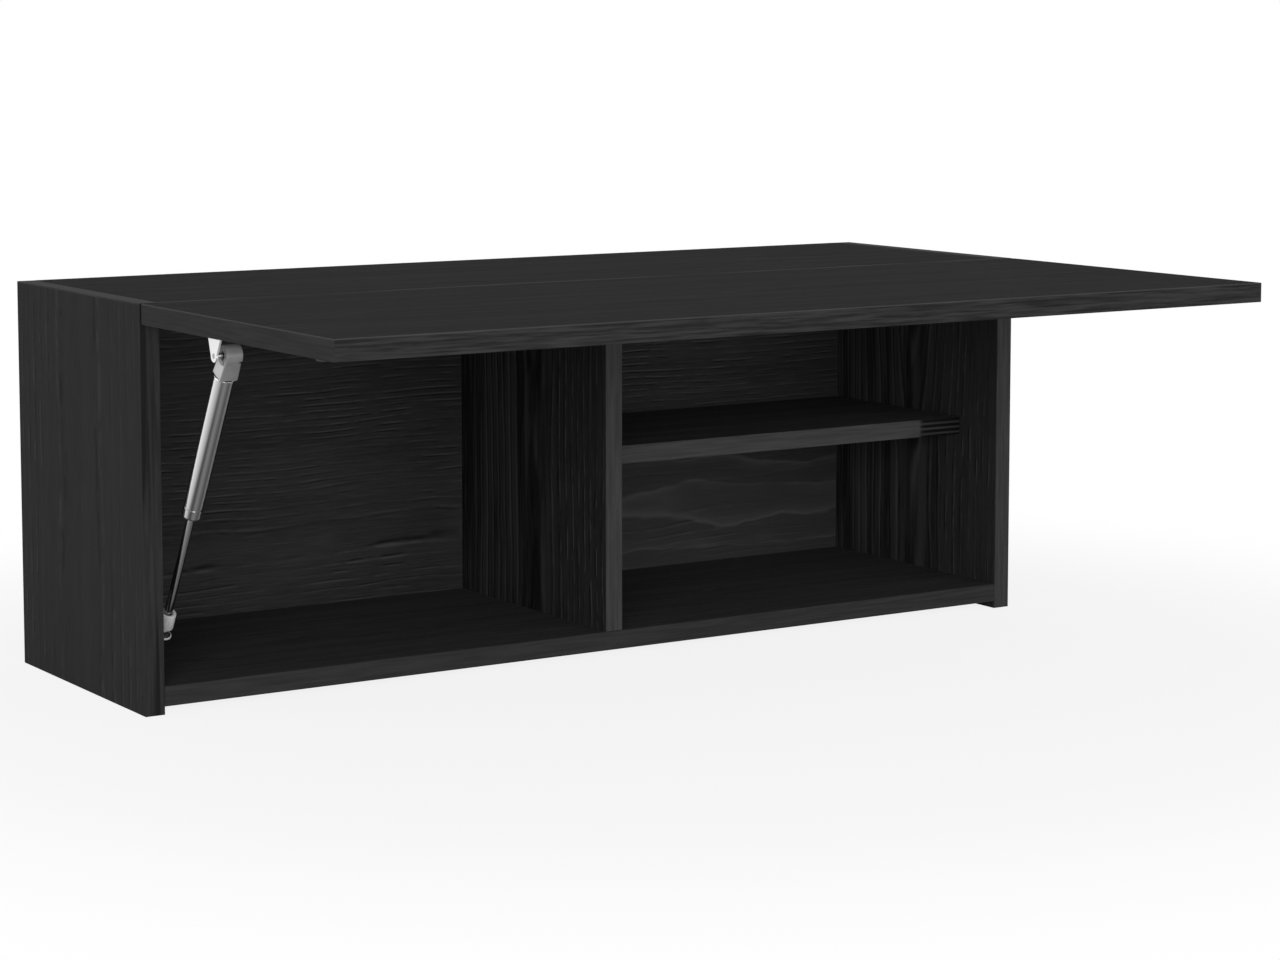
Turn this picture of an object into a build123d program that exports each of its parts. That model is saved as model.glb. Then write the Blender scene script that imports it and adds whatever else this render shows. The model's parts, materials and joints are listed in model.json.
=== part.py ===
from build123d import *
import os
from math import hypot

# Board cabinet with a lift-up front flap, shown with the flap open and level.
# X runs along the width, +Y to the back, +Z up; the origin is under the middle of the open cabinet.

# Driving dimensions of the carcass, in millimetres
width = 800
height = 300
side_depth = 232.5
board = 15
base_raise = 6
shelf_rise = 124
shelf_setback = 50
back_board = 3
back_lap = 8
edge_band = 1
edge_round = 0.6

# Driving dimensions of the flap
flap_board = 15
flap_length = 297.5
flap_gap_open = 2.5
flap_gap_shut = 2.5
flap_drop_shut = 1
flap_inner_round = 2
flap_end_round = 0.4
bumper_radius = 4
bumper_height = 2.2
bumper_inset = 30

# Driving dimensions of the board joints
joint_front_inset = 45
joint_rear_inset = 50
dowel_step = 40
dowel_radius = 4
dowel_in_upright = 11
dowel_in_panel = 19
cam_radius = 7.4
cam_height = 12
cam_inset = 24
cam_slot_width = 1.6
cam_slot_depth = 2
bolt_radius = 3
bolt_thread_radius = 2.5
bolt_thread_length = 10
nail_radius = 0.8
nail_length = 16
nail_head_radius = 2.2
nail_head_height = 0.8
nails_along_board = 4

# Driving dimensions of the screws
screw_radius = 1.6
screw_head_radius = 3.2
screw_head_height = 1.4
screw_bite = 11
screw_recess_width = 0.8
screw_recess_depth = 0.9

# Driving dimensions of the wall hangers
hanger_inset = 50
hanger_width = 20
hanger_plate = 2
hanger_leg = 32
hanger_drop = 40
hanger_hole_radius = 3.25
hanger_hole_drop = 27
hanger_screw_inset = 18

# Driving dimensions of the hinges
hinge_inset = 110
cup_edge = 3
cup_radius = 17.5
cup_depth = 11
cup_wall = 1
cup_flange = 1.2
cup_wing_half = 29
cup_wing_width = 18
cup_screw_spacing = 48
cup_screw_back = 6.5
pin_radius = 1.25
lug_thick = 3.2
lug_half = 2.2
arm_width = 8
arm_thick = 2.5
arm_eye_radius = 2.1
arm_tail_width = 18
arm_tail_start = 10
arm_tail_end = 52
hinge_plate_thick = 4.5
hinge_plate_half = 20
hinge_plate_start = 14
hinge_plate_end = 56
hinge_plate_screw_half = 15

# Driving dimensions of the gas strut, with its pivots as they stand when the flap is open
strut_inset = 32
upper_pivot_reach = 80.5
upper_pivot_drop = 16.5
lower_pivot_setback = 36.5
lower_pivot_height = 57
tube_radius = 7.5
tube_wall = 0.8
tube_start = 18
tube_length = 121
tube_end_round = 0.7
crimp_width = 1.4
crimp_depth = 0.5
crimp_inset = 9
guide_length = 12
guide_lip = 0.8
piston_length = 8
piston_standoff = 5
rod_radius = 3
rod_seat = 9
upper_head_radius = 7.5
fitting_half_width = 7
upper_body_half = 6.3
upper_plug_length = 6
upper_notch_start = 7
upper_notch_width = 2.6
upper_notch_depth = 1.2
upper_pin_radius = 2
lower_collar_radius = 7
lower_collar_top = 15
lower_collar_round = 1.2
lower_drum_radius = 6.5
lower_drum_width = 13
lower_rim_radius = 9
lower_rim_width = 3

# Driving dimensions of the strut's brackets
bracket_plate = 1.5
bracket_foot_half = 18
bracket_foot_width = 17
bracket_corner = 4
bracket_screw_half = 12
ear_gap = 4
ear_front_half = 13
ear_rear_half = 9.5
ear_tip_radius = 4.5
side_plate = 2
side_plate_half_width = 12
side_plate_half_height = 25
side_plate_screw_half = 17
stud_radius = 5

# Clearances
fit_gap = 0.1
running_gap = 0.05
open_gap = 0.3
inner_gap = 0.35

# Planes that the pieces share
half_width = width / 2
inner_x = half_width - board
flap_reach = flap_gap_open + flap_length
y_front = (flap_reach - side_depth) / 2
y_back = y_front + side_depth
y_core = y_front + edge_band
y_back_inner = y_back - back_board
z_floor = base_raise + board
z_ceiling = height - board
z_shelf = z_floor + shelf_rise
y_shelf = y_front + shelf_setback

y_tip = y_front - flap_reach
y_rear = y_front - flap_gap_open
z_inner = height - flap_board
pivot_y = y_front - (flap_board + flap_gap_shut + flap_gap_open - flap_drop_shut) / 2
pivot_z = height - (flap_board + flap_drop_shut + flap_gap_shut - flap_gap_open) / 2

strut_x = strut_inset - half_width
upper_y = y_front - upper_pivot_reach
upper_z = z_inner - upper_pivot_drop
lower_y = y_front + lower_pivot_setback
lower_z = lower_pivot_height
strut_length = hypot(lower_y - upper_y, lower_z - upper_z)


def block(x0, x1, y0, y1, z0, z1):
    """Box between two corners."""
    middle = Pos((x0 + x1) / 2, (y0 + y1) / 2, (z0 + z1) / 2)
    return middle * Box(x1 - x0, y1 - y0, z1 - z0)


def bar(plane, radius, start, end):
    """Round bar along a plane's normal, between two distances from its origin."""
    return plane.location * Pos(0, 0, (start + end) / 2) * Cylinder(radius, end - start)


def slab(plane, half_x, half_y, start, end, corner):
    """Plate square to a plane's normal, with round corners."""
    return plane.location * Pos(0, 0, start) * extrude(
        RectangleRounded(2 * half_x, 2 * half_y, corner), end - start)


def across(y, z):
    """Plane at x = 0 whose normal runs along +X."""
    return Plane(origin=(0, y, z), x_dir=(0, 1, 0), z_dir=(1, 0, 0))


def screw(plane, length):
    """Countersunk cross-head screw whose head is flush with the plane."""
    head = Pos(0, 0, screw_head_height / 2) * Cone(screw_head_radius, screw_radius, screw_head_height)
    shank = Pos(0, 0, length / 2) * Cylinder(screw_radius, length)
    cross_length = 2 * screw_radius
    recess_place = Pos(0, 0, screw_recess_depth / 2)
    recess = recess_place * Box(cross_length, screw_recess_width, screw_recess_depth)
    recess += recess_place * Box(screw_recess_width, cross_length, screw_recess_depth)
    return plane.location * (head + shank - recess)


def screw_hole(plane, length):
    """Countersunk hole that takes such a screw."""
    head = Pos(0, 0, screw_head_height / 2) * Cone(
        screw_head_radius + fit_gap, screw_radius + fit_gap, screw_head_height)
    shank = Pos(0, 0, (length + fit_gap) / 2) * Cylinder(screw_radius + fit_gap, length + fit_gap)
    return plane.location * (head + shank)


def save(name, *pieces):
    """Write one node, with each of its separate pieces as a solid."""
    solids = [solid for piece in pieces for solid in piece.solids()]
    export_step(solids[0] if len(solids) == 1 else Compound(solids), f"parts/{name}.step")


os.makedirs("parts", exist_ok=True)

# Boards of the carcass, before they are drilled
boards = {
    "left_side_panel": block(-half_width, -inner_x, y_core, y_back, 0, height - edge_band),
    "right_side_panel": block(inner_x, half_width, y_core, y_back, 0, height - edge_band),
    "top_panel": block(-inner_x, inner_x, y_core, y_back, z_ceiling, height),
    "bottom_panel": block(-inner_x, inner_x, y_core, y_back, base_raise, z_floor),
    "centre_divider": block(-board / 2, board / 2, y_core, y_back_inner, z_floor, z_ceiling),
    "shelf": block(board / 2, inner_x, y_shelf + edge_band, y_back_inner, z_shelf, z_shelf + board),
}

# Back panel, let into a rebate of the sides, top and bottom
rebate_x = inner_x + back_lap
rebate_low = z_floor - back_lap
rebate_high = z_ceiling + back_lap
rebate = block(-rebate_x, rebate_x, y_back_inner, y_back, rebate_low, rebate_high)
boards["back_panel"] = block(
    -rebate_x + open_gap, rebate_x - open_gap, y_back_inner, y_back,
    rebate_low + open_gap, rebate_high - open_gap)

# Flap, rounded all round; its inner rear edge is rounder because it swings past the carcass
flap_blank = block(-half_width, half_width, y_tip, y_rear, z_inner, height)
long_edges = flap_blank.edges().filter_by(Axis.X)
swinging_edge = long_edges.sort_by(Axis.Y)[-2:].sort_by(Axis.Z)[0]
flap_blank = fillet(swinging_edge, flap_inner_round)
corner_edges = [
    edge for edge in flap_blank.edges().filter_by(Axis.X)
    if min(abs(edge.center().Y - y_tip), abs(edge.center().Z - height)) < flap_end_round
]
flap_blank = fillet(corner_edges, edge_round)
end_edges = [edge for edge in flap_blank.edges() if abs(abs(edge.center().X) - half_width) < flap_end_round]
flap_blank = fillet(end_edges, flap_end_round)
core_x = half_width - edge_band
boards["flap_panel"] = flap_blank & block(-core_x, core_x, y_tip + edge_band, y_rear, z_inner, height)

# Every hole is collected here and cut from its board at the end
cuts = {name: [] for name in boards}
for name in ("left_side_panel", "right_side_panel", "top_panel", "bottom_panel"):
    cuts[name].append(rebate)


# Edge bands of the carcass
def front_band(x0, x1, y, z0, z1):
    """Strip on a front edge, its outer edges rounded."""
    strip = block(x0, x1, y, y + edge_band, z0, z1)
    return fillet(strip.faces().sort_by(Axis.Y)[0].edges(), edge_round)


def top_band(x0, x1):
    """Strip on the upper edge of a side panel, its outer edges rounded."""
    strip = block(x0, x1, y_core, y_back, height - edge_band, height)
    return fillet(strip.faces().sort_by(Axis.Z)[-1].edges(), edge_round)


save("upright_edge_bands",
     front_band(-half_width, -inner_x, y_front, 0, height),
     front_band(inner_x, half_width, y_front, 0, height),
     front_band(-board / 2, board / 2, y_front, z_floor, z_ceiling))
save("level_edge_bands",
     front_band(-inner_x, inner_x, y_front, z_ceiling, height),
     front_band(-inner_x, inner_x, y_front, base_raise, z_floor),
     front_band(board / 2, inner_x, y_shelf, z_shelf, z_shelf + board))
save("side_top_edge_bands", top_band(-half_width, -inner_x), top_band(inner_x, half_width))

# Edge bands of the flap
save("flap_front_edge_band", flap_blank & block(-core_x, core_x, y_tip, y_tip + edge_band, z_inner, height))
save("flap_end_edge_bands",
     flap_blank & block(-half_width, -core_x, y_tip, y_rear, z_inner, height),
     flap_blank & block(core_x, half_width, y_tip, y_rear, z_inner, height))

# Dowels, cam locks and cam bolts
dowels = []
cam_locks = []
cam_bolts = []


def dowel_joint(plane, upright, panel):
    """Dowel along the plane's normal, which points from the upright into the panel's end."""
    dowels.append(bar(plane, dowel_radius, -dowel_in_upright, dowel_in_panel))
    hole = bar(plane, dowel_radius + fit_gap, -dowel_in_upright - fit_gap, dowel_in_panel + fit_gap)
    cuts[upright].append(hole)
    cuts[panel].append(hole)


def cam_joint(plane, upright, panel):
    """Bolt along the plane's normal and the cam that grips it, open on the panel's face towards +x."""
    bolt_end = cam_inset - bolt_radius
    bolt = bar(plane, bolt_thread_radius, -bolt_thread_length, 0) + bar(plane, bolt_radius, 0, bolt_end)
    cam_bolts.append(bolt)
    thread_hole = bar(plane, bolt_thread_radius + fit_gap, -bolt_thread_length - fit_gap, 0)
    bolt_hole = bar(plane, bolt_radius + fit_gap, 0, bolt_end + fit_gap)
    face = Plane(
        origin=plane.from_local_coords((board / 2, 0, cam_inset)), x_dir=plane.y_dir, z_dir=-plane.x_dir)
    slot = face.location * Pos(0, 0, cam_slot_depth / 2) * Box(
        2 * bolt_radius, cam_slot_width, cam_slot_depth)
    cam_locks.append(bar(face, cam_radius, 0, cam_height) - bolt_hole - slot)
    cuts[upright].append(thread_hole)
    cuts[panel] += [bolt_hole, bar(face, cam_radius + fit_gap, 0, cam_height + fit_gap)]


down = Vector(0, 0, -1)
right = Vector(1, 0, 0)
mid_top = (z_ceiling + height) / 2
mid_bottom = (base_raise + z_floor) / 2
mid_shelf = z_shelf + board / 2
cam_rows = [y_front + joint_front_inset, y_back - joint_rear_inset]
dowel_rows = [cam_rows[0] + dowel_step, cam_rows[1] - dowel_step]

carcass_joints = [
    ((-inner_x, mid_top), right, down, "left_side_panel", "top_panel"),
    ((inner_x, mid_top), -right, down, "right_side_panel", "top_panel"),
    ((-inner_x, mid_bottom), right, down, "left_side_panel", "bottom_panel"),
    ((inner_x, mid_bottom), -right, down, "right_side_panel", "bottom_panel"),
    ((0, z_ceiling), down, right, "top_panel", "centre_divider"),
    ((0, z_floor), -down, right, "bottom_panel", "centre_divider"),
]
for (x, z), into_panel, to_cam_face, upright, panel in carcass_joints:
    for y in cam_rows:
        cam_joint(Plane(origin=(x, y, z), x_dir=to_cam_face, z_dir=into_panel), upright, panel)
    for y in dowel_rows:
        dowel_joint(Plane(origin=(x, y, z), x_dir=to_cam_face, z_dir=into_panel), upright, panel)

shelf_joints = [(board / 2, right, "centre_divider"), (inner_x, -right, "right_side_panel")]
for x, into_panel, upright in shelf_joints:
    for y in (y_shelf + joint_front_inset, y_back - joint_rear_inset):
        dowel_joint(Plane(origin=(x, y, mid_shelf), x_dir=down, z_dir=into_panel), upright, "shelf")

save("dowels", *dowels)
save("cam_locks", *cam_locks)
save("cam_bolts", *cam_bolts)

# Nails round the back panel, their heads flush with its outer face
nail_x = inner_x + back_lap / 2
nail_low = z_floor - back_lap / 2
nail_high = z_ceiling + back_lap / 2
nail_run_x = 2 * nail_x / (nails_along_board + 1)
nail_run_z = (nail_high - nail_low) / (nails_along_board + 1)
nail_places = []
for i in range(1, nails_along_board + 1):
    x = i * nail_run_x - nail_x
    z = nail_low + i * nail_run_z
    nail_places += [
        (x, nail_high, "top_panel"),
        (x, nail_low, "bottom_panel"),
        (-nail_x, z, "left_side_panel"),
        (nail_x, z, "right_side_panel"),
        (0, z, "centre_divider"),
    ]
nails = []
for x, z, name in nail_places:
    plane = Plane(origin=(x, y_back, z), x_dir=(1, 0, 0), z_dir=(0, -1, 0))
    nails.append(bar(plane, nail_head_radius, 0, nail_head_height) + bar(plane, nail_radius, 0, nail_length))
    hole = bar(plane, nail_radius + fit_gap, 0, nail_length + fit_gap)
    cuts["back_panel"] += [hole, bar(plane, nail_head_radius + fit_gap, 0, nail_head_height)]
    cuts[name].append(hole)
save("back_panel_nails", *nails)

# Wall hangers, steel angles under the top that lie against the back panel
hanger_screws = []
for name, side in (("wall_hanger_left", -1), ("wall_hanger_right", 1)):
    x = side * (half_width - hanger_inset)
    x0 = x - hanger_width / 2
    x1 = x + hanger_width / 2
    leg = block(x0, x1, y_back_inner - hanger_leg, y_back_inner, z_ceiling - hanger_plate, z_ceiling)
    drop = block(x0, x1, y_back_inner - hanger_plate, y_back_inner, z_ceiling - hanger_drop, z_ceiling)
    wall_hole = bar(
        Plane(origin=(x, y_back, z_ceiling - hanger_hole_drop), x_dir=(1, 0, 0), z_dir=(0, -1, 0)),
        hanger_hole_radius, 0, back_board + hanger_plate)
    cuts["back_panel"].append(wall_hole)
    plane = Plane(origin=(x, y_back_inner - hanger_screw_inset, z_ceiling - hanger_plate))
    length = hanger_plate + screw_bite
    hanger_screws.append(screw(plane, length))
    cuts["top_panel"].append(screw_hole(plane, length))
    save(name, leg + drop - wall_hole - screw_hole(plane, length))
save("wall_hanger_screws", *hanger_screws)

# Hinges, each a cup in the flap that turns on the pin of an arm under the top
plate_screws = []
arm_screws = []
cup_screws = []
hinge_axis = across(pivot_y, pivot_z)
y_cup = y_rear - cup_edge - cup_radius
arm_top = z_ceiling - hinge_plate_thick
arm_low = arm_top - arm_thick
lug_inner = arm_width / 2 + open_gap
lug_outer = lug_inner + lug_thick
for side_name, side in (("left", -1), ("right", 1)):
    x = side * (half_width - hinge_inset)

    # Mounting plate, screwed to the underside of the top
    y_screw = y_front + (hinge_plate_start + hinge_plate_end) / 2
    plate = block(x - hinge_plate_half, x + hinge_plate_half, y_front + hinge_plate_start,
                  y_front + hinge_plate_end, arm_top, z_ceiling)
    for step in (-hinge_plate_screw_half, hinge_plate_screw_half):
        plane = Plane(origin=(x + step, y_screw, arm_top))
        length = hinge_plate_thick + screw_bite
        plate_screws.append(screw(plane, length))
        plate -= screw_hole(plane, length)
        cuts["top_panel"].append(screw_hole(plane, length))

    # Arm, screwed under the plate, with an eye round the hinge pin
    reach_low = pivot_y - arm_thick / 2
    reach_high = pivot_y + arm_thick / 2
    arm_x0 = x - arm_width / 2
    arm_x1 = x + arm_width / 2
    arm = bar(hinge_axis, arm_eye_radius, arm_x0, arm_x1)
    arm += block(arm_x0, arm_x1, reach_low, reach_high, arm_low, pivot_z)
    arm += block(arm_x0, arm_x1, reach_low, y_front + arm_tail_start, arm_low, arm_top)
    arm += block(x - arm_tail_width / 2, x + arm_tail_width / 2, y_front + arm_tail_start,
                 y_front + arm_tail_end, arm_low, arm_top)
    arm -= bar(hinge_axis, pin_radius + running_gap, arm_x0, arm_x1)
    plane = Plane(origin=(x, y_screw, arm_low))
    length = arm_thick + hinge_plate_thick - fit_gap
    arm_screws.append(screw(plane, length))
    save(f"hinge_arm_{side_name}", arm - screw_hole(plane, length))
    save(f"hinge_plate_{side_name}", plate - screw_hole(plane, length))

    # Cup, let into the flap's inner face, with two lugs that hold the pin
    mouth = Plane(origin=(x, y_cup, z_inner))
    shell = bar(mouth, cup_radius - fit_gap, -cup_flange, cup_depth)
    wing_plane = Plane(origin=(x, y_cup - cup_screw_back, z_inner))
    shell += slab(wing_plane, cup_wing_half, cup_wing_width / 2, -cup_flange, 0, bracket_corner)
    hollow = bar(mouth, cup_radius - fit_gap - cup_wall, -cup_flange, cup_depth - cup_wall)
    lugs = [
        block(x + low, x + high, pivot_y - lug_half, pivot_y + lug_half, pivot_z - lug_half, z_inner + cup_depth)
        for low, high in ((-lug_outer, -lug_inner), (lug_inner, lug_outer))
    ]
    pin_seat = bar(hinge_axis, pin_radius + running_gap, x - lug_outer, x + lug_outer)
    within = bar(mouth, cup_radius - fit_gap, 0, cup_depth)
    cup = shell - hollow
    for lug in lugs:
        cup += lug & within
    cup -= pin_seat
    for step in (-cup_screw_spacing / 2, cup_screw_spacing / 2):
        plane = Plane(origin=(x + step, y_cup - cup_screw_back, z_inner - cup_flange))
        length = cup_flange + screw_bite
        cup_screws.append(screw(plane, length))
        cup -= screw_hole(plane, length)
        cuts["flap_panel"].append(screw_hole(plane, length))
    cuts["flap_panel"].append(bar(mouth, cup_radius, 0, cup_depth + fit_gap))
    save(f"hinge_cup_{side_name}", cup)
    save(f"hinge_pin_{side_name}", bar(hinge_axis, pin_radius, x - lug_outer, x + lug_outer))
save("hinge_plate_screws", *plate_screws)
save("hinge_arm_screws", *arm_screws)
save("hinge_cup_screws", *cup_screws)

# Strut bracket on the flap, a foot with an ear that hangs down beside the strut's head
upper_axis = across(upper_y, upper_z)
fitting_x0 = strut_x - fitting_half_width
fitting_x1 = strut_x + fitting_half_width
ear_x1 = fitting_x0 - ear_gap
ear_x0 = ear_x1 - bracket_plate
foot_x1 = ear_x0 + bracket_foot_width
foot_plane = Plane(origin=((ear_x0 + foot_x1) / 2, upper_y, z_inner))
foot = slab(foot_plane, bracket_foot_width / 2, bracket_foot_half, -bracket_plate, 0, bracket_corner)
ear_outline = Polyline(
    (-ear_front_half, upper_pivot_drop), (ear_rear_half, upper_pivot_drop),
    (ear_tip_radius, 0), (-ear_tip_radius, 0), close=True)
ear = upper_axis.location * Pos(0, 0, ear_x0) * extrude(make_face(ear_outline), bracket_plate)
ear += bar(upper_axis, ear_tip_radius, ear_x0, ear_x1)
flap_bracket = foot + ear - bar(upper_axis, upper_pin_radius + running_gap, ear_x0, ear_x1)
bracket_screws = []
for step in (-bracket_screw_half, bracket_screw_half):
    plane = Plane(origin=((ear_x1 + foot_x1) / 2, upper_y + step, z_inner - bracket_plate))
    length = bracket_plate + screw_bite
    bracket_screws.append(screw(plane, length))
    flap_bracket -= screw_hole(plane, length)
    cuts["flap_panel"].append(screw_hole(plane, length))
save("strut_flap_bracket", flap_bracket)
save("flap_bracket_screws", *bracket_screws)

# Strut bracket on the left side panel, a plate with a stud that ends just short of the strut's lower end
lower_axis = across(lower_y, lower_z)
lower_x0 = strut_x - fitting_half_width
side_bracket = slab(lower_axis, side_plate_half_width, side_plate_half_height,
                    -inner_x, side_plate - inner_x, bracket_corner)
side_bracket += bar(lower_axis, stud_radius, -inner_x, lower_x0 - open_gap)
side_screws = []
for step in (-side_plate_screw_half, side_plate_screw_half):
    plane = Plane(origin=(side_plate - inner_x, lower_y, lower_z + step), x_dir=(0, 1, 0), z_dir=(-1, 0, 0))
    length = side_plate + screw_bite
    side_screws.append(screw(plane, length))
    side_bracket -= screw_hole(plane, length)
    cuts["left_side_panel"].append(screw_hole(plane, length))
save("strut_side_bracket", side_bracket)
save("side_bracket_screws", *side_screws)

# Gas strut, along a line from its upper pivot to its lower one
strut_line = Plane(
    origin=(strut_x, upper_y, upper_z), x_dir=(1, 0, 0), z_dir=(0, lower_y - upper_y, lower_z - upper_z))
bore_radius = tube_radius - tube_wall
tube_end = tube_start + tube_length
guide_start = tube_end - guide_length
piston_end = guide_start - piston_standoff
rod_end = strut_length - rod_seat

tube = bar(strut_line, tube_radius, tube_start, tube_end)
rims = tube.edges().filter_by(GeomType.CIRCLE)
tube = fillet(rims, tube_end_round)
tube -= bar(strut_line, bore_radius, tube_start, tube_end)
crimp_start = tube_end - crimp_inset
crimp = bar(strut_line, tube_radius, crimp_start, crimp_start + crimp_width)
crimp -= bar(strut_line, tube_radius - crimp_depth, crimp_start, crimp_start + crimp_width)
save("strut_tube", tube - crimp)

guide = bar(strut_line, bore_radius - fit_gap, guide_start, tube_end + guide_lip)
save("strut_rod_guide", guide - bar(strut_line, rod_radius + running_gap, guide_start, tube_end + guide_lip))

# Upper end fitting, a round head on the pin and a body that plugs the tube
upper_pin = bar(upper_axis, upper_pin_radius, ear_x0, strut_x)
upper_fitting = bar(upper_axis, upper_head_radius, fitting_x0, fitting_x1)
upper_body = Pos(0, 0, tube_start / 2) * Box(2 * fitting_half_width, 2 * upper_body_half, tube_start)
upper_body = fillet(upper_body.edges().filter_by(Axis.Z), lower_collar_round)
upper_fitting += strut_line.location * upper_body
upper_fitting += bar(strut_line, bore_radius - fit_gap, tube_start, tube_start + upper_plug_length)
notch_x = fitting_half_width - upper_notch_depth / 2
notch = Pos(notch_x, 0, upper_notch_start + upper_notch_width / 2) * Box(
    upper_notch_depth, 4 * upper_body_half, upper_notch_width)
upper_fitting -= strut_line.location * notch
save("strut_upper_fitting", upper_fitting - bar(upper_axis, upper_pin_radius + running_gap, fitting_x0, strut_x))
save("strut_upper_pin", upper_pin)

# Rod and piston, drawn out as they are with the flap open
save("strut_rod", bar(strut_line, rod_radius, piston_end, rod_end))
save("strut_piston", bar(strut_line, bore_radius - inner_gap, piston_end - piston_length, piston_end))

# Lower end fitting, a collar on the rod and a drum with a wider rim beside the stud
drum = bar(lower_axis, lower_drum_radius, lower_x0, lower_x0 + lower_drum_width)
rim = bar(lower_axis, lower_rim_radius, lower_x0, lower_x0 + lower_rim_width)
collar = bar(strut_line, lower_collar_radius, strut_length - lower_collar_top, strut_length)
collar = fillet(collar.edges().filter_by(GeomType.CIRCLE).sort_by(Axis.Z)[-1], lower_collar_round)
seat = bar(strut_line, rod_radius + running_gap, strut_length - lower_collar_top, rod_end)
save("strut_lower_fitting", collar + drum + rim - seat)

# Stop pads on the flap's lower corners, which meet the front edges of the sides when it is shut
bumper_planes = [
    Plane(origin=(side * (half_width - board / 2), y_tip + bumper_inset, z_inner)) for side in (-1, 1)
]
save("flap_bumpers", *[bar(plane, bumper_radius, -bumper_height, 0) for plane in bumper_planes])

# Boards, drilled and written
for name, plain_board in boards.items():
    save(name, plain_board - cuts[name])
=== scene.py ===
import json
from math import pi, radians

import bpy
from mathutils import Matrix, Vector


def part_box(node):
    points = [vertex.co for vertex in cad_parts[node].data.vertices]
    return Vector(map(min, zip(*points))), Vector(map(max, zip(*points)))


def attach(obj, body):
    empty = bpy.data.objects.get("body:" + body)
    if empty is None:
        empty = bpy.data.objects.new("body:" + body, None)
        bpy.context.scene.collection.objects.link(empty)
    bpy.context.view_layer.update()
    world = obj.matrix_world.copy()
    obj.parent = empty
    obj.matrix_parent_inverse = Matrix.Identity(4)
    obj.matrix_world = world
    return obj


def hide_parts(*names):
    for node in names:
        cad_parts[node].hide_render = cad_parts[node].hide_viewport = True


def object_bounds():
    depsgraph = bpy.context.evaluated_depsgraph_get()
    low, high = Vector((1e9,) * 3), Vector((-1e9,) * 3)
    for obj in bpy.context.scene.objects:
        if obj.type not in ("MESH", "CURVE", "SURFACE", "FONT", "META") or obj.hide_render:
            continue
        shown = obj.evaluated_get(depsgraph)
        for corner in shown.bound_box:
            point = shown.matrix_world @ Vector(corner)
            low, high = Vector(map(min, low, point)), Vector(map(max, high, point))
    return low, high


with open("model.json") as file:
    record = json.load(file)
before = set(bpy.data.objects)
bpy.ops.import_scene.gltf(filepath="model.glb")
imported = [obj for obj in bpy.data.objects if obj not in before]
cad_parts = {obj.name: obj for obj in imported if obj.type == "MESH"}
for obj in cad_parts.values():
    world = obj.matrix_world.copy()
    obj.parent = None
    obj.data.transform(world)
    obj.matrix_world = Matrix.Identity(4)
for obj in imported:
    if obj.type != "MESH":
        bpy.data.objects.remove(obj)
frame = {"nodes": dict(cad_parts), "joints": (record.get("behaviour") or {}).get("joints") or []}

cad_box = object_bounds()


# Sides and centre divider: 15 mm chipboard boards faced with a black oak foil.
# The printed grain runs up them, plain on the left side and arched on the other two, with pressed pores.
# They stand upright and carry the level boards on dowels and cam bolts.
ring_pitch = 0.0085
ring_wander = 0.018
wander_scale = 16.0
wander_stretch = 0.28
wander_detail = 3.0
pore_in_ring = ((0.40, 0.0), (0.54, 1.0), (0.68, 0.0))
light_in_ring = ((0.60, 0.0), (0.76, 1.0), (0.94, 0.0))
dash_scale = 150.0
dash_stretch = 0.28
dash_span = (0.43, 0.58)
patch_scale = 16.0
patch_stretch = 0.4
patch_span = (0.34, 0.60)
fibre_scale = 900.0
fibre_stretch = 0.035
fibre_span = (0.42, 0.70)
fibre_share = 0.3
fibre_height = 0.5
fine_detail = 3.0
flame_scale = 55.0
flame_stretch = 0.07
flame_span = (0.38, 0.62)
flame_dark = 0.3
flame_light = 1.5
pore_share = 0.6
pore_least = 0.3
foil_relief = 0.3
foil_depth = 0.0004
foil_roughness = ((0.0, 0.95), (1.0, 0.8))
foil_gloss = 0.03
speckle_roughness = 0.6


def new_material(name):
    """A material, its node tree and its surface shader."""
    material = bpy.data.materials.new(name)
    material.use_nodes = True
    return material, material.node_tree, material.node_tree.nodes["Principled BSDF"]


def add_node(tree, kind, inputs=None, **settings):
    """A node with its settings, and with each input either linked or set."""
    node = tree.nodes.new("ShaderNode" + kind)
    for key, value in settings.items():
        setattr(node, key, value)
    for key, value in (inputs or {}).items():
        if isinstance(value, bpy.types.NodeSocket):
            tree.links.new(value, node.inputs[key])
        else:
            node.inputs[key].default_value = value
    return node


def on_object(tree):
    """Places on the piece, in metres of the shared frame."""
    return add_node(tree, "TexCoord").outputs["Object"]


def grey(level):
    """A neutral colour of that level."""
    return (level, level, level, 1)


def ramp(tree, factor, *stops):
    """A grey ramp from a factor, with stops of place and level."""
    node = add_node(tree, "ValToRGB", {"Fac": factor})
    elements = node.color_ramp.elements
    elements.remove(elements[1])
    for number, (place, level) in enumerate(stops):
        element = elements.new(place) if number else elements[0]
        element.position = place
        element.color = grey(level)
    return node.outputs["Color"]


def mix(tree, blend, factor, a, b):
    """Two colours mixed by a blend mode."""
    return add_node(tree, "Mix", {0: factor, 6: a, 7: b}, data_type="RGBA", blend_type=blend).outputs[2]


def times(tree, a, b):
    """Two levels multiplied."""
    return mix(tree, "MULTIPLY", 1.0, a, b)


def drawn_out(tree, grain, stretch):
    """Places on the piece drawn out along the grain."""
    scale = tuple(stretch if axis == grain else 1.0 for axis in "XYZ")
    return add_node(tree, "Mapping", {"Vector": on_object(tree), "Scale": scale}).outputs["Vector"]


def speckle(tree, place, scale, span, detail=2.0):
    """Noise as a grey level, black below a span of its values and white above."""
    noise = add_node(tree, "TexNoise", {
        "Vector": place, "Scale": scale, "Detail": detail, "Roughness": speckle_roughness})
    return ramp(tree, noise.outputs["Fac"], (span[0], 0.0), (span[1], 1.0))


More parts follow.
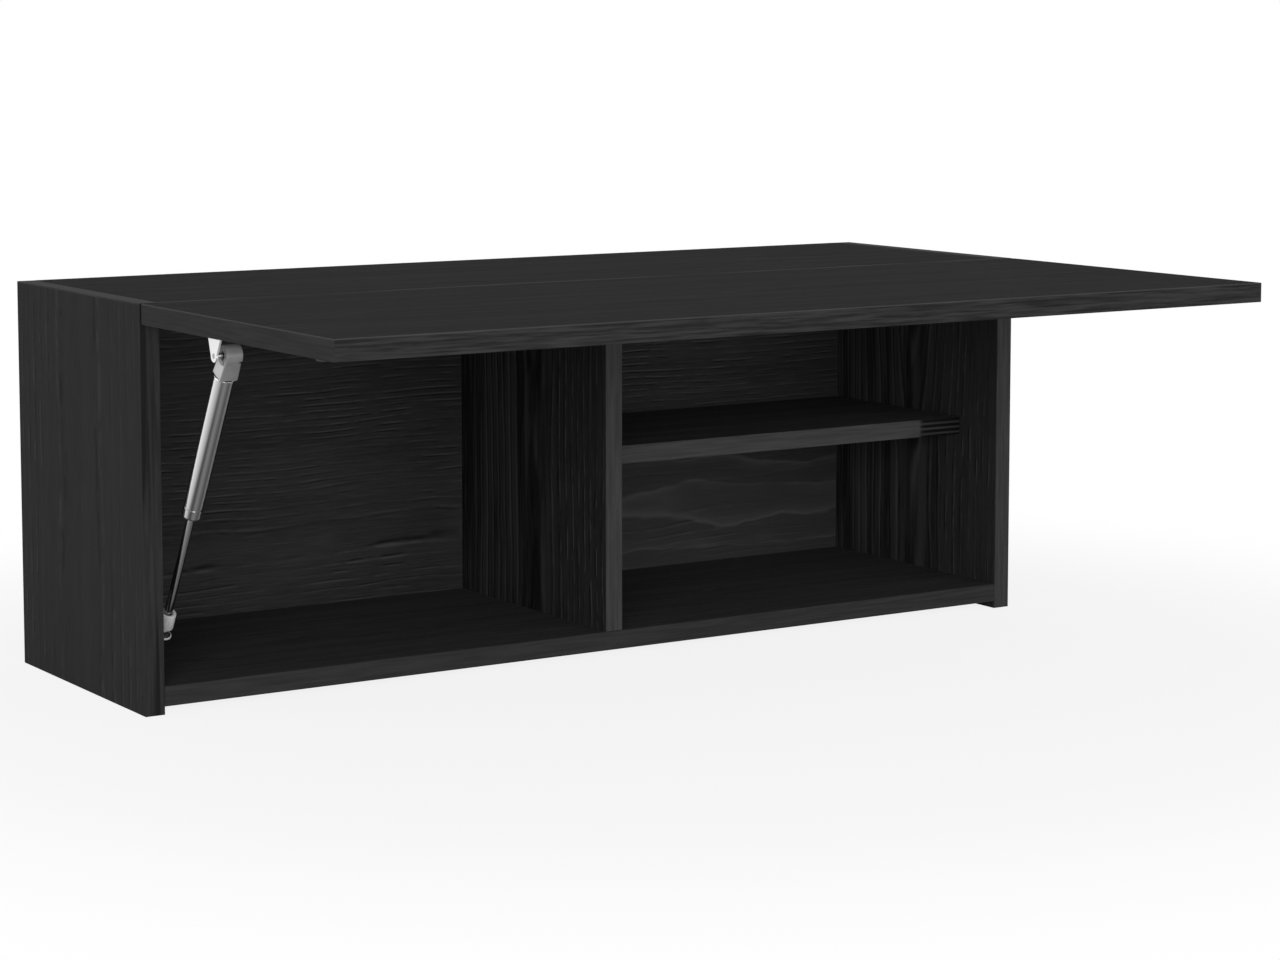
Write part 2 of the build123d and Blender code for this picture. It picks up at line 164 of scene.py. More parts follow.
def along(tree, axis, *stops):
    """A grey level from stops along one axis of the cabinet, in metres."""
    low = cad_box[0]["XYZ".index(axis)]
    length = cad_box[1]["XYZ".index(axis)] - low
    place = add_node(tree, "SeparateXYZ", {0: on_object(tree)})
    share = add_node(tree, "MapRange", {
        "Value": place.outputs[axis], "From Min": low, "From Max": low + length})
    return ramp(tree, share.outputs["Result"], *[((stop - low) / length, level) for stop, level in stops])


def level_of(tree, value):
    """A number as it is, or a level from stops of place and level from front to back."""
    return along(tree, "Y", *value) if isinstance(value, tuple) else value


def wave_scale(pitch):
    """Scale at which a wave texture repeats once in that length."""
    return 2 * pi / 20 / pitch


def growth_rings(tree, grain, heart, lean, pitch, wander, bow=(0, 0, 0), stretch=wander_stretch):
    """Rings round a heart line along the grain, as a level that rises across each ring."""
    from_heart = add_node(tree, "Mapping", {"Vector": on_object(tree), "Location": heart, "Rotation": lean})
    run = add_node(tree, "SeparateXYZ", {0: from_heart.outputs["Vector"]}).outputs[grain]
    run_squared = add_node(tree, "Math", {0: run, 1: run}, operation="MULTIPLY").outputs[0]
    bowed = add_node(tree, "VectorMath", {
        0: run_squared, 1: bow, 2: from_heart.outputs["Vector"]}, operation="MULTIPLY_ADD")
    bends = add_node(tree, "TexNoise", {
        "Vector": drawn_out(tree, grain, stretch), "Scale": wander_scale, "Detail": wander_detail})
    bent = add_node(tree, "VectorMath", {
        0: bends.outputs["Color"], 1: (wander, wander, wander), 2: bowed.outputs["Vector"]},
        operation="MULTIPLY_ADD")
    return add_node(tree, "TexWave", {
        "Vector": bent.outputs["Vector"], "Scale": wave_scale(pitch), "Distortion": 0.0},
        wave_type="RINGS", rings_direction=grain, wave_profile="SAW").outputs["Fac"]


def raise_skin(tree, surface, height, strength, depth):
    """Relief of a surface from a height."""
    bump = add_node(tree, "Bump", {"Height": height, "Strength": strength, "Distance": depth})
    tree.links.new(bump.outputs["Normal"], surface.inputs["Normal"])


def oak_foil(name, grain, heart, ground, line, lean=(0, 0, 0), pitch=ring_pitch, wander=ring_wander,
             breaks=1.0, bow=(0, 0, 0), flame=0.2):
    """Black oak foil: rings round a heart line, each a light line beside a dark pore, over fine fibres."""
    material, tree, surface = new_material(name)
    rings = growth_rings(tree, grain, heart, lean, pitch, wander, bow)
    patches = speckle(tree, drawn_out(tree, grain, patch_stretch), patch_scale, patch_span)
    dashes = speckle(tree, drawn_out(tree, grain, dash_stretch), dash_scale, dash_span)
    dashes = mix(tree, "MIX", level_of(tree, breaks), grey(1), times(tree, dashes, patches))
    pores = times(tree, ramp(tree, rings, *pore_in_ring), dashes)
    light = times(tree, ramp(tree, rings, *light_in_ring), dashes)
    fibres = speckle(tree, drawn_out(tree, grain, fibre_stretch), fibre_scale, fibre_span, fine_detail)
    flames = speckle(tree, drawn_out(tree, grain, flame_stretch), flame_scale, flame_span)
    light = mix(tree, "MULTIPLY", level_of(tree, flame), light, flames)
    lively = mix(tree, "MIX", flames, grey(ground * flame_dark), grey(ground * flame_light))
    shade = mix(tree, "MIX", level_of(tree, flame), grey(ground), lively)
    shade = mix(tree, "MIX", times(tree, fibres, grey(fibre_share)), shade, grey(line))
    shade = mix(tree, "MIX", light, shade, grey(line))
    pore = max(ground - pore_share * (line - ground), pore_least * ground)
    tree.links.new(mix(tree, "MIX", pores, shade, grey(pore)), surface.inputs["Base Color"])
    relief = mix(tree, "SUBTRACT", 1.0, mix(tree, "ADD", fibre_height, light, fibres), pores)
    raise_skin(tree, surface, relief, foil_relief, foil_depth)
    tree.links.new(ramp(tree, relief, *foil_roughness), surface.inputs["Roughness"])
    surface.inputs["Specular IOR Level"].default_value = foil_gloss
    return material


def dress(material, *names):
    """Give CAD nodes their finish."""
    for name in names:
        for material_slot in frame["nodes"][name].material_slots:
            material_slot.material = material


dress(oak_foil("oak_left_side", "Z", heart=(0.65, -0.15, 0), ground=0.021, line=0.034, pitch=0.004,
               wander=0.004, flame=0.08), "left_side_panel")
arch_pitch = 0.008
arch_wander = 0.014
arch_bow = (-0.2, 0, 0)
broken_in_front = ((0.10, 1.0), (0.14, 0.35))
lively_behind = ((0.10, 0.15), (0.14, 0.9))
for foil_name, node_name, heart, ground, line in (
        ("oak_right_side", "right_side_panel", (-0.3536, -0.155, -0.02), 0.020, 0.052),
        ("oak_divider", "centre_divider", (0.0386, -0.15, -0.125), 0.016, 0.056)):
    dress(oak_foil(foil_name, "Z", heart, ground, line, pitch=arch_pitch, wander=arch_wander,
                   breaks=broken_in_front, bow=arch_bow, flame=lively_behind), node_name)


# Top, bottom and shelf: the same boards with the grain running along them.
# Cams let into the undersides of top and bottom pull them against the sides, and dowels carry the shelf.
# A thin pale line painted in places along the top's front arris, which the flap meets, is a painted
# highlight.
top_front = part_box("top_panel")[0].y
top_face = cad_box[1].z
highlight_reach = 0.006
highlight_depth = (0.003, 0.001)
highlight_tone = 0.085
highlight_stretch = 0.1
highlight_scale = 60.0
highlight_span = (0.38, 0.60)


def lay_over(material, blend, factor, colour):
    """Lay a colour over a finish."""
    tree = material.node_tree
    base = tree.nodes["Principled BSDF"].inputs["Base Color"]
    tree.links.new(mix(tree, blend, factor, base.links[0].from_socket, colour), base)


oak_top = oak_foil("oak_top", "X", heart=(0, -0.17, -0.24), ground=0.023, line=0.028, lean=(0, 0.03, 0))
top_tree = oak_top.node_tree
near_flap = along(top_tree, "Y", (top_front, 1.0), (top_front + highlight_reach, 0.0))
near_face = along(top_tree, "Z", (top_face - highlight_depth[0], 0.0), (top_face - highlight_depth[1], 1.0))
highlight_places = speckle(top_tree, drawn_out(top_tree, "X", highlight_stretch), highlight_scale, highlight_span)
painted_arris_highlight = times(top_tree, times(top_tree, near_flap, near_face), highlight_places)
# Lay the painted highlight along the top's front arris.
lay_over(oak_top, "MIX", painted_arris_highlight, grey(highlight_tone))
dress(oak_top, "top_panel")
# The bottom's and the shelf's foil is painted much lighter than the same foil on the other boards: painted
# light inside the cabinet.
dress(oak_foil("oak_bottom", "X", heart=(0, -0.13, 0.03), ground=0.040, line=0.055, lean=(0, 0.04, 0)),
      "bottom_panel")
dress(oak_foil("oak_shelf", "X", heart=(0, -0.16, -0.10), ground=0.068, line=0.085, lean=(0, 0.04, 0)),
      "shelf")


# Back panel: 3 mm hardboard with the same foil, its grain running along the cabinet.
# It drops into a rebate of the sides, top and bottom and is nailed all round.
# Low on the right the fine lines give way to a broad figure of pale wavy bands.
broad_heart = (0, -0.27, -0.095)
broad_lean = (0, -0.01, 0)
broad_pitch = 0.022
broad_wander = 0.04
broad_stretch = 0.5
broad_in_ring = ((0.40, 0.0), (0.76, 0.35), (0.87, 0.8), (0.95, 0.0))
broad_on_right = ((-0.03, 0.0), (0.04, 1.0))
broad_low_down = ((0.13, 1.0), (0.19, 0.0))
broad_calm = 0.6
broad_ground = 0.028
broad_tone = 0.052
fading_share = 0.8
fading_stretch = 0.3
fading_scale = 40.0
fading_span = (0.35, 0.6)
oak_back = oak_foil("oak_back", "X", heart=(0, -0.25, -0.085), ground=0.020, line=0.052, lean=(0, 0.01, 0),
                    pitch=0.0055, wander=0.016, breaks=0.92)
back_tree = oak_back.node_tree
broad_part = times(back_tree, along(back_tree, "X", *broad_on_right), along(back_tree, "Z", *broad_low_down))
broad_rings = growth_rings(back_tree, "X", broad_heart, broad_lean, broad_pitch, broad_wander,
                           stretch=broad_stretch)
broad_bands = ramp(back_tree, broad_rings, *broad_in_ring)
fading = speckle(back_tree, drawn_out(back_tree, "X", fading_stretch), fading_scale, fading_span)
broad_bands = mix(back_tree, "MULTIPLY", fading_share, broad_bands, fading)
lay_over(oak_back, "MIX", times(back_tree, broad_part, grey(broad_calm)), grey(broad_ground))
lay_over(oak_back, "MIX", times(back_tree, broad_part, broad_bands), grey(broad_tone))
dress(oak_back, "back_panel")


# Edge bands of the carcass: 1 mm plastic strips glued to the edges that show.
# They are plainer and lighter than the foil, with streaks along them, and some lengths came out darker.
# The left upright has long dark streaks, and at its right end the shelf's strip shows bare dark lines.
band_stretch = 0.045
band_scale = 420.0
band_span = (0.38, 0.62)
band_relief = 0.1
skin_depth = 0.0002
band_roughness = 0.65
upright_tones = ((-0.2, 0.58), (-0.1, 1.0), (0.2, 1.0), (0.3, 0.9))
streaks_on_left = ((-0.2, 0.9), (-0.1, 0.0))
dark_stretch = 0.03
dark_scale = 130.0
dark_span = (0.47, 0.58)
dark_tone = 0.008
level_tones = ((0.05, 0.6), (0.08, 1.0))
shelf_only = ((0.08, 0.0), (0.10, 1.0), (0.20, 1.0), (0.22, 0.0))
bare_from = ((0.342, 0.0), (0.344, 1.0))
bare_line_pitch = 0.0044
bare_line_waver = 1.2
bare_line_waver_scale = 40.0
bare_line_tones = ((0.4, 0.10), (1.0, 0.75))


def edge_strip(name, grain, tone, streak):
    """Plastic strip with streaks along it."""
    material, tree, surface = new_material(name)
    streaks = speckle(tree, drawn_out(tree, grain, band_stretch), band_scale, band_span, fine_detail)
    tree.links.new(mix(tree, "MIX", streaks, grey(tone), grey(streak)), surface.inputs["Base Color"])
    raise_skin(tree, surface, streaks, band_relief, skin_depth)
    surface.inputs["Roughness"].default_value = band_roughness
    surface.inputs["Specular IOR Level"].default_value = foil_gloss
    return material


upright_band = edge_strip("band_upright", "Z", tone=0.031, streak=0.043)
upright_tree = upright_band.node_tree
lay_over(upright_band, "MULTIPLY", 1.0, along(upright_tree, "X", *upright_tones))
dark_streaks = speckle(upright_tree, drawn_out(upright_tree, "Z", dark_stretch), dark_scale, dark_span)
left_streaks = times(upright_tree, dark_streaks, along(upright_tree, "X", *streaks_on_left))
lay_over(upright_band, "MIX", left_streaks, grey(dark_tone))
dress(upright_band, "upright_edge_bands")

level_band = edge_strip("band_level", "X", tone=0.034, streak=0.047)
level_tree = level_band.node_tree
lay_over(level_band, "MULTIPLY", 1.0, along(level_tree, "Z", *level_tones))
bare_lines = add_node(level_tree, "TexWave", {
    "Vector": on_object(level_tree), "Scale": wave_scale(bare_line_pitch),
    "Distortion": bare_line_waver, "Detail Scale": bare_line_waver_scale}, bands_direction="Z")
bare_end = times(level_tree, along(level_tree, "X", *bare_from), along(level_tree, "Z", *shelf_only))
lay_over(level_band, "MULTIPLY", bare_end, ramp(level_tree, bare_lines.outputs["Fac"], *bare_line_tones))
dress(level_band, "level_edge_bands")

dress(edge_strip("band_side_top", "Y", tone=0.027, streak=0.036), "side_top_edge_bands")


# Dowels: plain turned beech, glued into the boards' ends.
# They keep the boards in line with each other and carry the shelf.
beech_pale = (0.62, 0.45, 0.27, 1)
beech_fleck = (0.42, 0.27, 0.14, 1)
beech_roughness = 0.7
fleck_stretch = 0.1
fleck_scale = 1500.0
fleck_span = (0.40, 0.70)
dowel_beech, beech_tree, beech_surface = new_material("dowel_beech")
flecks = speckle(beech_tree, drawn_out(beech_tree, "X", fleck_stretch), fleck_scale, fleck_span)
beech_shade = mix(beech_tree, "MIX", flecks, beech_pale, beech_fleck)
beech_tree.links.new(beech_shade, beech_surface.inputs["Base Color"])
beech_surface.inputs["Roughness"].default_value = beech_roughness
dress(dowel_beech, "dowels")


# Cam locks, cam bolts and nails: small zinc plated hardware that draws the boards together.
# The cams are cast, the bolts turned, and the nails hold the back panel in its rebate.
plating_patches = 260.0
plating_grains = 2600.0
plating_wear = (0.85, 1.2)
mottle_span = (0.30, 0.70)
metal_relief = 0.05


def plated(name, colour, roughness, mottle=0.12):
    """Plated metal whose tint and gloss vary a little over it."""
    material, tree, surface = new_material(name)
    patches = speckle(tree, on_object(tree), plating_patches, mottle_span, fine_detail)
    dull = tuple(channel * (1 - mottle) for channel in colour[:3]) + (1,)
    tree.links.new(mix(tree, "MIX", patches, colour, dull), surface.inputs["Base Color"])
    wear = ramp(tree, patches, (0.0, roughness * plating_wear[0]), (1.0, roughness * plating_wear[1]))
    tree.links.new(wear, surface.inputs["Roughness"])
    grains = add_node(tree, "TexNoise", {"Vector": on_object(tree), "Scale": plating_grains})
    raise_skin(tree, surface, grains.outputs["Fac"], metal_relief, skin_depth)
    surface.inputs["Metallic"].default_value = 1.0
    return material


dress(plated("cast_zinc", (0.46, 0.46, 0.47, 1), roughness=0.42), "cam_locks")
dress(plated("bright_zinc", (0.60, 0.61, 0.63, 1), roughness=0.28), "cam_bolts", "back_panel_nails")


# Wall hangers: pressed steel angles under the top, zinc plated and screwed up into it.
# Each has one hole, behind it a hole in the back panel, for a screw into the wall.
dress(plated("hanger_zinc", (0.58, 0.59, 0.60, 1), roughness=0.34), "wall_hanger_left", "wall_hanger_right",
      "wall_hanger_screws")


# Hinge plates and arms: nickel plated steel under the top, held by countersunk screws.
# The arm reaches out of the cabinet to the pin that the flap turns on.
nickel = plated("hinge_nickel", (0.62, 0.60, 0.57, 1), roughness=0.24)
dress(nickel, "hinge_plate_left", "hinge_plate_right", "hinge_plate_screws", "hinge_arm_left",
      "hinge_arm_right", "hinge_arm_screws")


# Flap: one 15 mm board as wide as the cabinet, foiled on both faces with the grain along it.
# Its three free edges have bands, with a pale line painted along their upper arris as a painted highlight.
# It turns up on two hinges until it lies level with the top.
arris_highlight_tone = 0.058
arris_highlight_heights = ((top_face - 0.0011, 0.0), (top_face - 0.0004, 0.8))
dress(oak_foil("oak_flap", "X", heart=(0, 0.12, -0.21), ground=0.023, line=0.028, lean=(0, 0.03, 0)),
      "flap_panel")
for band_name, grain, tone, streak in (("flap_front_edge_band", "X", 0.012, 0.028),
                                       ("flap_end_edge_bands", "Y", 0.017, 0.023)):
    flap_band = edge_strip(band_name, grain, tone, streak)
    # A pale line along the band's upper arris: a painted highlight.
    lay_over(flap_band, "MIX", along(flap_band.node_tree, "Z", *arris_highlight_heights), grey(arris_highlight_tone))
    dress(flap_band, band_name)


# Hinge cups: pressed nickel plated cups let into 35 mm holes in the flap's inner face.
# Two lugs in each hold the hinge pin, and two screws hold its wings.
dress(nickel, "hinge_cup_left", "hinge_cup_right", "hinge_pin_left", "hinge_pin_right", "hinge_cup_screws")


# Strut brackets: a pale folded steel angle on the flap and a plate with a stud on the left side.
# Both are zinc plated and screwed on, and the strut's two ends turn on them.
dress(plated("bracket_pale_zinc", grey(0.80), roughness=0.38, mottle=0.05), "strut_flap_bracket",
      "flap_bracket_screws")
dress(plated("bracket_zinc", (0.60, 0.61, 0.62, 1), roughness=0.34), "strut_side_bracket",
      "side_bracket_screws")


# Gas strut: a polished steel tube, crimped near its end, with a piston and a ground rod inside.
# Bright and dark bands painted along the tube and the rod, by their turn round the strut, are painted
# reflections.
# A black moulded guide closes the tube and carries the rod.
strut_joints = {joint["name"]: joint for joint in frame["joints"]}
strut_rise = Vector(strut_joints["strut_stroke"]["axis"])
upper_pivot = Vector(strut_joints["strut_swing"]["pos_m"])
strut_lean = Vector((0, 0, 1)).rotation_difference(strut_rise).to_euler()
steel_grains = 1400.0
steel_wear = (0.85, 1.15)
tube_reflection_bands = ((0.02, 0.75), (0.10, 0.42), (0.15, 0.12), (0.20, 0.45), (0.265, 0.20), (0.33, 0.85),
              (0.5, 0.55), (1.0, 0.70))
rod_reflection_bands = ((0.0, 0.40), (0.15, 0.42), (0.3, 0.22), (0.5, 0.35), (1.0, 0.40))
moulded_patches = 180.0
moulded_dark = 0.85
pit_scale = 3200.0


def steel_with_painted_reflections(name, roughness, bands):
    """Steel with painted reflections: bright and dark bands along the strut, as stops of turn and level."""
    material, tree, surface = new_material(name)
    strut_place = add_node(tree, "Mapping", {
        "Vector": on_object(tree), "Location": upper_pivot, "Rotation": strut_lean}, vector_type="TEXTURE")
    turn = add_node(tree, "TexGradient", {"Vector": strut_place.outputs["Vector"]}, gradient_type="RADIAL")
    tree.links.new(ramp(tree, turn.outputs["Fac"], *bands), surface.inputs["Base Color"])
    grains = add_node(tree, "TexNoise", {"Vector": on_object(tree), "Scale": steel_grains}).outputs["Fac"]
    raise_skin(tree, surface, grains, metal_relief, skin_depth)
    wear = ramp(tree, grains, (0.0, roughness * steel_wear[0]), (1.0, roughness * steel_wear[1]))
    tree.links.new(wear, surface.inputs["Roughness"])
    surface.inputs["Metallic"].default_value = 1.0
    return material


def moulded(name, level, roughness, pits):
    """Moulded plastic or rubber with a fine pitted skin."""
    material, tree, surface = new_material(name)
    patches = speckle(tree, on_object(tree), moulded_patches, mottle_span)
    shade = mix(tree, "MIX", patches, grey(level), grey(level * moulded_dark))
    tree.links.new(shade, surface.inputs["Base Color"])
    skin = add_node(tree, "TexNoise", {"Vector": on_object(tree), "Scale": pit_scale})
    raise_skin(tree, surface, skin.outputs["Fac"], pits, skin_depth)
    surface.inputs["Roughness"].default_value = roughness
    return material


# The tube's and the rod's bright and dark bands are painted reflections.
dress(steel_with_painted_reflections("strut_tube_steel", roughness=0.15, bands=tube_reflection_bands), "strut_tube")
dress(steel_with_painted_reflections("strut_rod_steel", roughness=0.20, bands=rod_reflection_bands), "strut_rod", "strut_piston",
      "strut_upper_pin")
dress(moulded("strut_guide_black", level=0.02, roughness=0.5, pits=0.1), "strut_rod_guide")


# Strut's upper end: a cast grey head that turns on a pin beside the bracket's ear.
# Its neck flares to close the tube, its flat on the left is painted a lighter grey as a painted highlight,
# and a slot crosses its right face.
head_radius = 0.0075
head_width = 0.0125
head_shift = Vector((0.00075, 0, 0))
head_easing = 0.0009
neck_facing = 0.54
neck_end = 0.018
neck_flare = (1.1, 1.05)
pin_recess_inset = 0.0034
pin_recess_depth = 0.002
slot_levels = (-0.0008, -0.0012, -0.0032, -0.0036)
slot_slack = 0.0001
slot_depth = 0.0020
drum_sides = 48
easing_steps = 3
sharp_angle = radians(50)
smooth_angle = radians(35)
merge_distance = 0.00001
facing = 0.9
flat_facing = 0.99


def pick(piece, kind, wanted):
    """In edit mode, select the faces or vertices that a test of place and normal wants."""
    bpy.ops.object.mode_set(mode="EDIT")
    bpy.ops.mesh.select_mode(type=kind)
    bpy.ops.mesh.select_all(action="DESELECT")
    bpy.ops.object.mode_set(mode="OBJECT")
    if kind == "FACE":
        for face in piece.data.polygons:
            face.select = wanted(face.center, face.normal)
    else:
        for vertex in piece.data.vertices:
            vertex.select = wanted(vertex.co, vertex.normal)
    bpy.ops.object.mode_set(mode="EDIT")


def push_out(offset):
    """Extrude what is selected by an offset."""
    bpy.ops.mesh.extrude_region_move(TRANSFORM_OT_translate={"value": offset})


def ease_edges(offset):
    """Bevel the sharp edges of the whole piece."""
    bpy.ops.mesh.select_mode(type="EDGE")
    bpy.ops.mesh.select_all(action="DESELECT")
    bpy.ops.mesh.edges_select_sharp(sharpness=sharp_angle)
    bpy.ops.mesh.bevel(offset=offset, segments=easing_steps, loop_slide=False)


def drum(name, radius, length, turn=0.0):
    """Round blank at the origin, in edit mode, to be shaped."""
    bpy.ops.object.select_all(action="DESELECT")
    bpy.ops.mesh.primitive_cylinder_add(
        vertices=drum_sides, radius=radius, depth=length, rotation=(0, turn, 0))
    piece = bpy.context.object
    piece.name = name
    bpy.ops.object.transform_apply(location=False, rotation=True, scale=False)
    bpy.ops.object.mode_set(mode="EDIT")
    return piece


def set_in_place(piece, place, lean, body, node):
    """Finish a shaped piece, put it where it belongs and let it stand for its node."""
    bpy.ops.mesh.select_all(action="SELECT")
    bpy.ops.mesh.remove_doubles(threshold=merge_distance)
    bpy.ops.object.mode_set(mode="OBJECT")
    piece.rotation_euler = lean
    piece.location = place
    bpy.ops.object.transform_apply(location=True, rotation=True, scale=True)
    bpy.ops.object.shade_smooth_by_angle(angle=smooth_angle)
    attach(piece, body)
    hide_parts(node)


def second_finish(piece, finish, wanted):
    """Give the faces that a test of place and normal wants a finish of their own."""
    piece.data.materials.append(finish)
    piece.active_material_index = len(piece.data.materials) - 1
    pick(piece, "FACE", wanted)
    bpy.ops.object.material_slot_assign()


upper_head = drum("strut_upper_head", head_radius, head_width, pi / 2)
pick(upper_head, "FACE", lambda place, normal: normal.z < -neck_facing)
push_out((0, 0, -head_radius))
bpy.ops.transform.resize(value=(*neck_flare, 0), center_override=(head_width / 2, 0, -neck_end))
ease_edges(head_easing)
pick(upper_head, "FACE", lambda place, normal: normal.x < -flat_facing and abs(place.z) < head_easing)
bpy.ops.mesh.inset(thickness=pin_recess_inset)
push_out((pin_recess_depth, 0, 0))
for slot_level in slot_levels:
    bpy.ops.mesh.select_all(action="SELECT")
    bpy.ops.mesh.bisect(plane_co=(0, 0, slot_level), plane_no=(0, 0, 1))
pick(upper_head, "VERT", lambda place, normal: place.x > head_width / 2 - 2 * head_easing
     and slot_levels[2] - slot_slack < place.z < slot_levels[1] + slot_slack)
bpy.ops.transform.translate(value=(-slot_depth, 0, 0))
upper_head.data.materials.append(moulded("strut_end_casting", level=0.17, roughness=0.42, pits=0.15))
# The flat on the left gets a lighter grey than the casting: a painted highlight.
second_finish(upper_head, moulded("strut_end_flat", level=0.45, roughness=0.36, pits=0.1),
              lambda place, normal: normal.x < -facing and place.z < -head_radius)
set_in_place(upper_head, upper_pivot + head_shift, strut_lean, "strut_cylinder",
             "strut_upper_fitting")


# Strut's lower end: a pale turned socket on the rod, with a round collar and a thin foot ring.
# The rod sinks into a recess in the collar, and the waist between collar and ring is painted near black as
# painted shade.
# A boss on the left meets the stud of the side bracket.
socket_low, socket_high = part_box("strut_side_bracket")
lower_pivot = (socket_low + socket_high) / 2
lower_pivot.x = upper_pivot.x
collar_radius = 0.0060
collar_length = 0.0135
collar_wall = 0.0025
collar_recess = 0.0020
waist_radius = 0.0036
waist_length = 0.0064
foot_radius = 0.0062
foot_length = 0.0018
foot_spread = foot_radius / waist_radius
socket_easing = 0.0008
painted_shade_slack = 0.0003
boss_radius = 0.0045
boss_reach = 0.0070
lower_socket = drum("strut_lower_socket", collar_radius, collar_length)
bpy.ops.transform.translate(value=(0, 0, collar_length / 2))
pick(lower_socket, "FACE", lambda place, normal: normal.z < -facing)
bpy.ops.mesh.inset(thickness=collar_radius - waist_radius)
push_out((0, 0, -waist_length))
push_out((0, 0, 0))
bpy.ops.transform.resize(value=(foot_spread, foot_spread, 1), center_override=(0, 0, -waist_length))
push_out((0, 0, -foot_length))
pick(lower_socket, "FACE", lambda place, normal: normal.z > facing and place.z > collar_length / 2)
bpy.ops.mesh.inset(thickness=collar_wall)
push_out((0, 0, -collar_recess))
ease_edges(socket_easing)
bpy.ops.mesh.select_all(action="DESELECT")
bpy.ops.mesh.primitive_cylinder_add(vertices=drum_sides, radius=boss_radius, depth=boss_reach,
                                    location=(-boss_reach / 2, 0, 0), rotation=(0, pi / 2, 0))
bpy.ops.mesh.intersect_boolean(operation="UNION")
socket_casting = moulded("strut_socket_casting", level=0.45, roughness=0.36, pits=0.12)
lower_socket.data.materials.append(socket_casting)
# The waist is painted near black: painted shade in the gap between collar and ring.
second_finish(lower_socket, moulded("strut_socket_sleeve", level=0.012, roughness=0.6, pits=0.1),
              lambda place, normal: -waist_length - painted_shade_slack < place.z < painted_shade_slack
              and place.xy.length < foot_radius - socket_easing)
set_in_place(lower_socket, lower_pivot, strut_lean, "strut_rod", "strut_lower_fitting")


# Stop pads: two soft rubber domes stuck to the flap's inner face near its free corners.
# They meet the front edges of the sides when the flap is shut.
pad_dome = 0.0016
dome_steps = 5
pads_low, pads_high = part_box("flap_bumpers")
pads_middle = (pads_low + pads_high) / 2
pad_height = pads_high.z - pads_low.z
pad_radius = (pads_high.y - pads_low.y) / 2
pad_rubber = moulded("pad_rubber", level=0.025, roughness=0.75, pits=0.2)
for side_name, pad_x in (("left", pads_low.x + pad_radius), ("right", pads_high.x - pad_radius)):
    pad = drum("flap_stop_pad_" + side_name, pad_radius, pad_height)
    pick(pad, "FACE", lambda place, normal: normal.z < -facing)
    bpy.ops.mesh.bevel(offset=pad_dome, segments=dome_steps)
    pad.data.materials.append(pad_rubber)
    set_in_place(pad, (pad_x, pads_middle.y, pads_middle.z), (0, 0, 0), "flap", "flap_bumpers")


# Floor: a white sweep under and round the cabinet that keeps its soft shadow.
# The camera sees it almost white, and fully white further off, so that no horizon shows.
# Mirrors see its own shade close by and white beyond.
floor_size = 30.0
floor_tone = 0.82
floor_roughness = 0.9
camera_fade = (0.45, 0.85, 0.9)
mirror_fade = (0.50, 0.0, 0.62)
white = (1, 1, 1, 1)
bpy.ops.object.select_all(action="DESELECT")
bpy.ops.mesh.primitive_plane_add(size=floor_size, location=(0, 0, 0))
floor = bpy.context.object
floor.name = "floor"
floor_finish, floor_tree, floor_surface = new_material("white_floor")
floor_surface.inputs["Base Color"].default_value = grey(floor_tone)
floor_surface.inputs["Roughness"].default_value = floor_roughness
floor_surface.inputs["Specular IOR Level"].default_value = 0.0


def combine(tree, operation, a, b):
    """Two values put together."""
    return add_node(tree, "Math", {0: a, 1: b}, operation=operation).outputs[0]


def rays(tree):
    """1 for rays from the camera, and 1 for rays from mirrors or glass, that show the background itself."""
    path = add_node(tree, "LightPath").outputs
    mirrored = combine(tree, "MAXIMUM", path["Is Glossy Ray"], path["Is Transmission Ray"])
    return path["Is Camera Ray"], mirrored


floor_white = add_node(floor_tree, "Emission", {"Color": white, "Strength": 1.0})
floor_distance = add_node(floor_tree, "VectorMath", {0: on_object(floor_tree)}, operation="LENGTH")
floor_shares = []
for floor_rays, (near, near_share, far) in zip(rays(floor_tree), (camera_fade, mirror_fade)):
    floor_fade = add_node(floor_tree, "MapRange", {
        "Value": floor_distance.outputs["Value"], "From Min": near, "From Max": far,
        "To Min": near_share, "To Max": 1.0}, interpolation_type="SMOOTHSTEP")
    floor_shares.append(combine(floor_tree, "MULTIPLY", floor_rays, floor_fade.outputs["Result"]))
floor_mix = add_node(floor_tree, "MixShader", {
    0: combine(floor_tree, "MAXIMUM", *floor_shares), 1: floor_surface.outputs["BSDF"],
    2: floor_white.outputs["Emission"]})
floor_tree.links.new(floor_mix.outputs["Shader"], floor_tree.nodes["Material Output"].inputs["Surface"])
floor.data.materials.append(floor_finish)


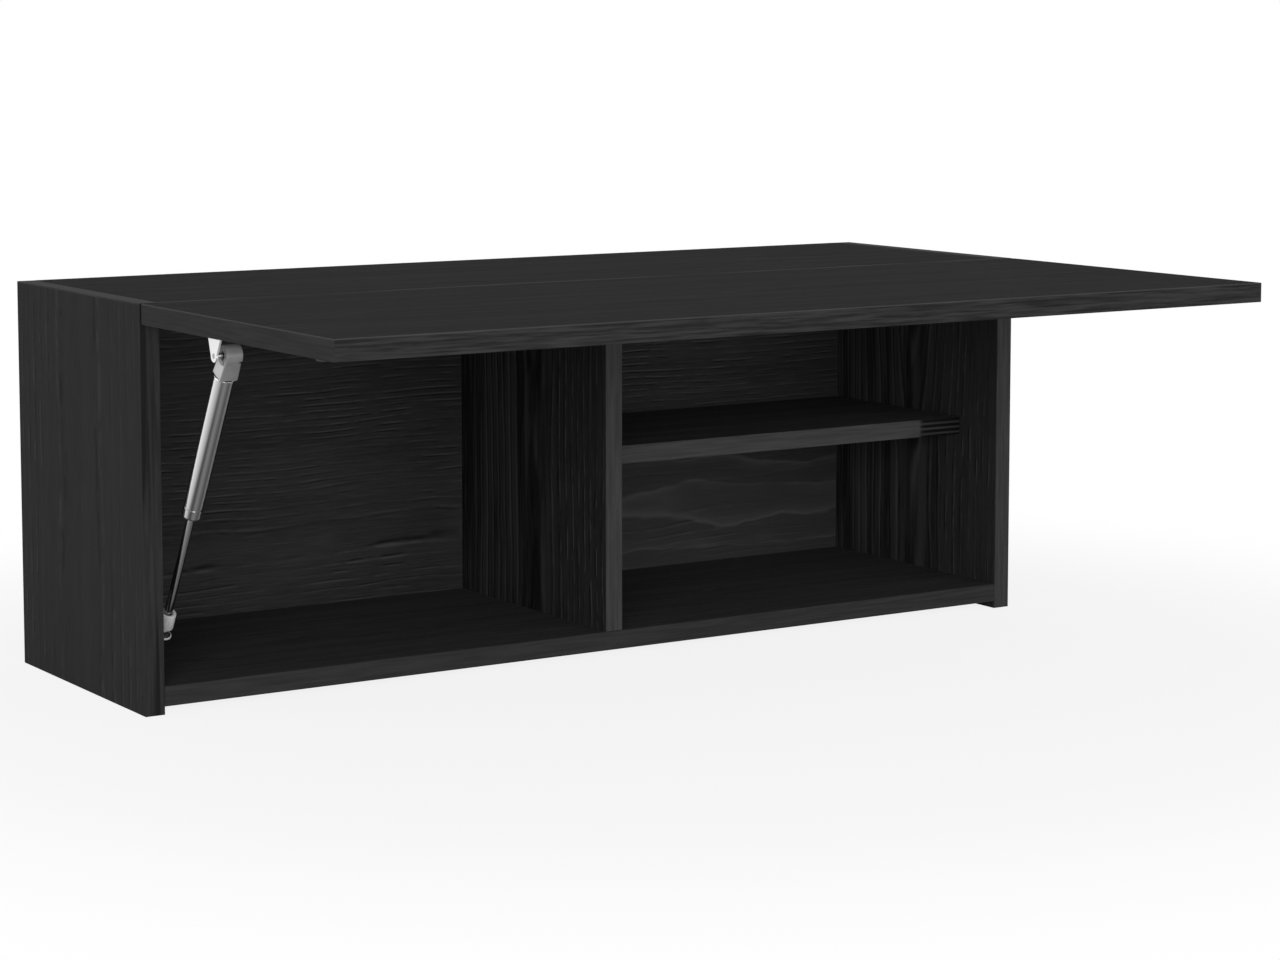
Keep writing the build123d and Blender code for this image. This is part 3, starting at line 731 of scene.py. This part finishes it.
# Studio light: a pale sky, dimmer overhead, with soft lamps low in front and one at the left.
# The low lamps reach into the open cabinet, and the left one lights its left side.
zenith_level = 0.3
zenith_height = 0.8
horizon_level = 0.75
world = bpy.data.worlds.new("studio")
bpy.context.scene.world = world
world.use_nodes = True
sky_tree = world.node_tree
sky = sky_tree.nodes["Background"]
sky.inputs["Color"].default_value = white
sky_place = add_node(sky_tree, "SeparateXYZ", {0: add_node(sky_tree, "TexCoord").outputs["Generated"]})
sky_fade = add_node(sky_tree, "MapRange", {
    "Value": sky_place.outputs["Z"], "From Max": zenith_height, "To Min": horizon_level,
    "To Max": zenith_level})
sky_strength = add_node(sky_tree, "Mix", {
    0: combine(sky_tree, "MAXIMUM", *rays(sky_tree)), 2: sky_fade.outputs["Result"], 3: 1.0})
sky_tree.links.new(sky_strength.outputs[0], sky.inputs["Strength"])


def softbox(name, place, aim, size, power):
    """Large soft lamp turned towards a point."""
    lamp = bpy.data.lights.new(name, "AREA")
    lamp.shape = "RECTANGLE"
    lamp.size, lamp.size_y = size
    lamp.energy = power
    stand = bpy.data.objects.new(name, lamp)
    stand.location = place
    stand.rotation_euler = (Vector(aim) - Vector(place)).to_track_quat("-Z", "Y").to_euler()
    bpy.context.scene.collection.objects.link(stand)


cabinet_middle = (0, 0, 0.15)
left_side_middle = (-0.37, 0, 0.16)
softbox("key_softbox", place=(-1.5, -2.6, 0.75), aim=cabinet_middle, size=(2.4, 1.4), power=66)
softbox("fill_softbox", place=(1.3, -2.6, 0.22), aim=cabinet_middle, size=(2.0, 0.4), power=20)
softbox("left_softbox", place=(-2.4, 0.6, 0.16), aim=left_side_middle, size=(1.4, 0.3), power=15)


# Camera: a long lens at the photograph's angle, a little above the cabinet and to its left.
# The frame is shifted down by a small part of its width, which keeps the uprights nearly parallel.
picture_width = 1280
focal_pixels = 3143.4
sensor = 36.0
camera_place = (-1.30723, -2.03551, 0.50023)
camera_yaw = radians(32.755)
camera_dip = radians(5.777)
camera_shift = -0.11
lens = bpy.data.cameras.new("camera")
lens.sensor_width = sensor
lens.lens = focal_pixels / picture_width * sensor
lens.shift_y = camera_shift
camera = bpy.data.objects.new("camera", lens)
camera.location = camera_place
camera.rotation_euler = (pi / 2 - camera_dip, 0, -camera_yaw)
bpy.context.scene.collection.objects.link(camera)
bpy.context.scene.camera = camera
bpy.context.scene.view_settings.view_transform = "Standard"
